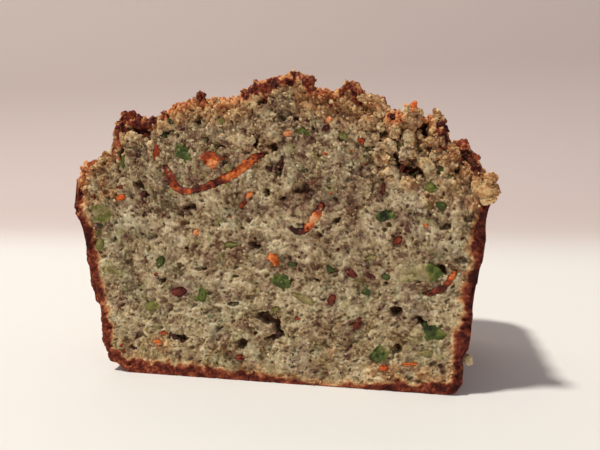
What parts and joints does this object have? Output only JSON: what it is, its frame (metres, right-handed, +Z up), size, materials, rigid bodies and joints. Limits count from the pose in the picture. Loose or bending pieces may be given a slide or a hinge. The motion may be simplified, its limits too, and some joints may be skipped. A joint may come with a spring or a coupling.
{
  "type": "vegetable loaf cake end piece",
  "caption": "End piece of a vegetable loaf cake, cut straight across, with a lumpy domed crust and carrot, pepper and courgette pieces showing in its cut face.",
  "frame": {"origin": "middle of the flat bottom, at the centre of the box around the part", "axes": "+Z up, +X along the cut face from its left side to its right side as seen from the front, -Y out of the cut face, +Y towards the rounded heel"},
  "size_m": [0.114, 0.055, 0.0827],
  "materials": {
    "crust_and_crumb": "porous pale brown crumb at the cut, dry dark brown baked crust on the sides, bottom and top, all matt",
    "carrot": "moist cooked carrot, satin",
    "pepper": "moist cooked red pepper, satin",
    "courgette": "moist cooked courgette, pale flesh with green rind, satin"
  },
  "bodies": {
    "root": {"loaf": "crust_and_crumb", "carrot_curl": "carrot", "carrot_shred": "carrot", "carrot_chunk": "carrot", "carrot_piece": "carrot", "pepper_strip": "pepper", "courgette_rind": "courgette", "courgette_slice_1": "courgette", "courgette_slice_2": "courgette", "courgette_slice_3": "courgette", "courgette_slice_4": "courgette", "courgette_slice_5": "courgette", "courgette_slice_6": "courgette", "courgette_slice_7": "courgette"}
  },
  "joints": []
}
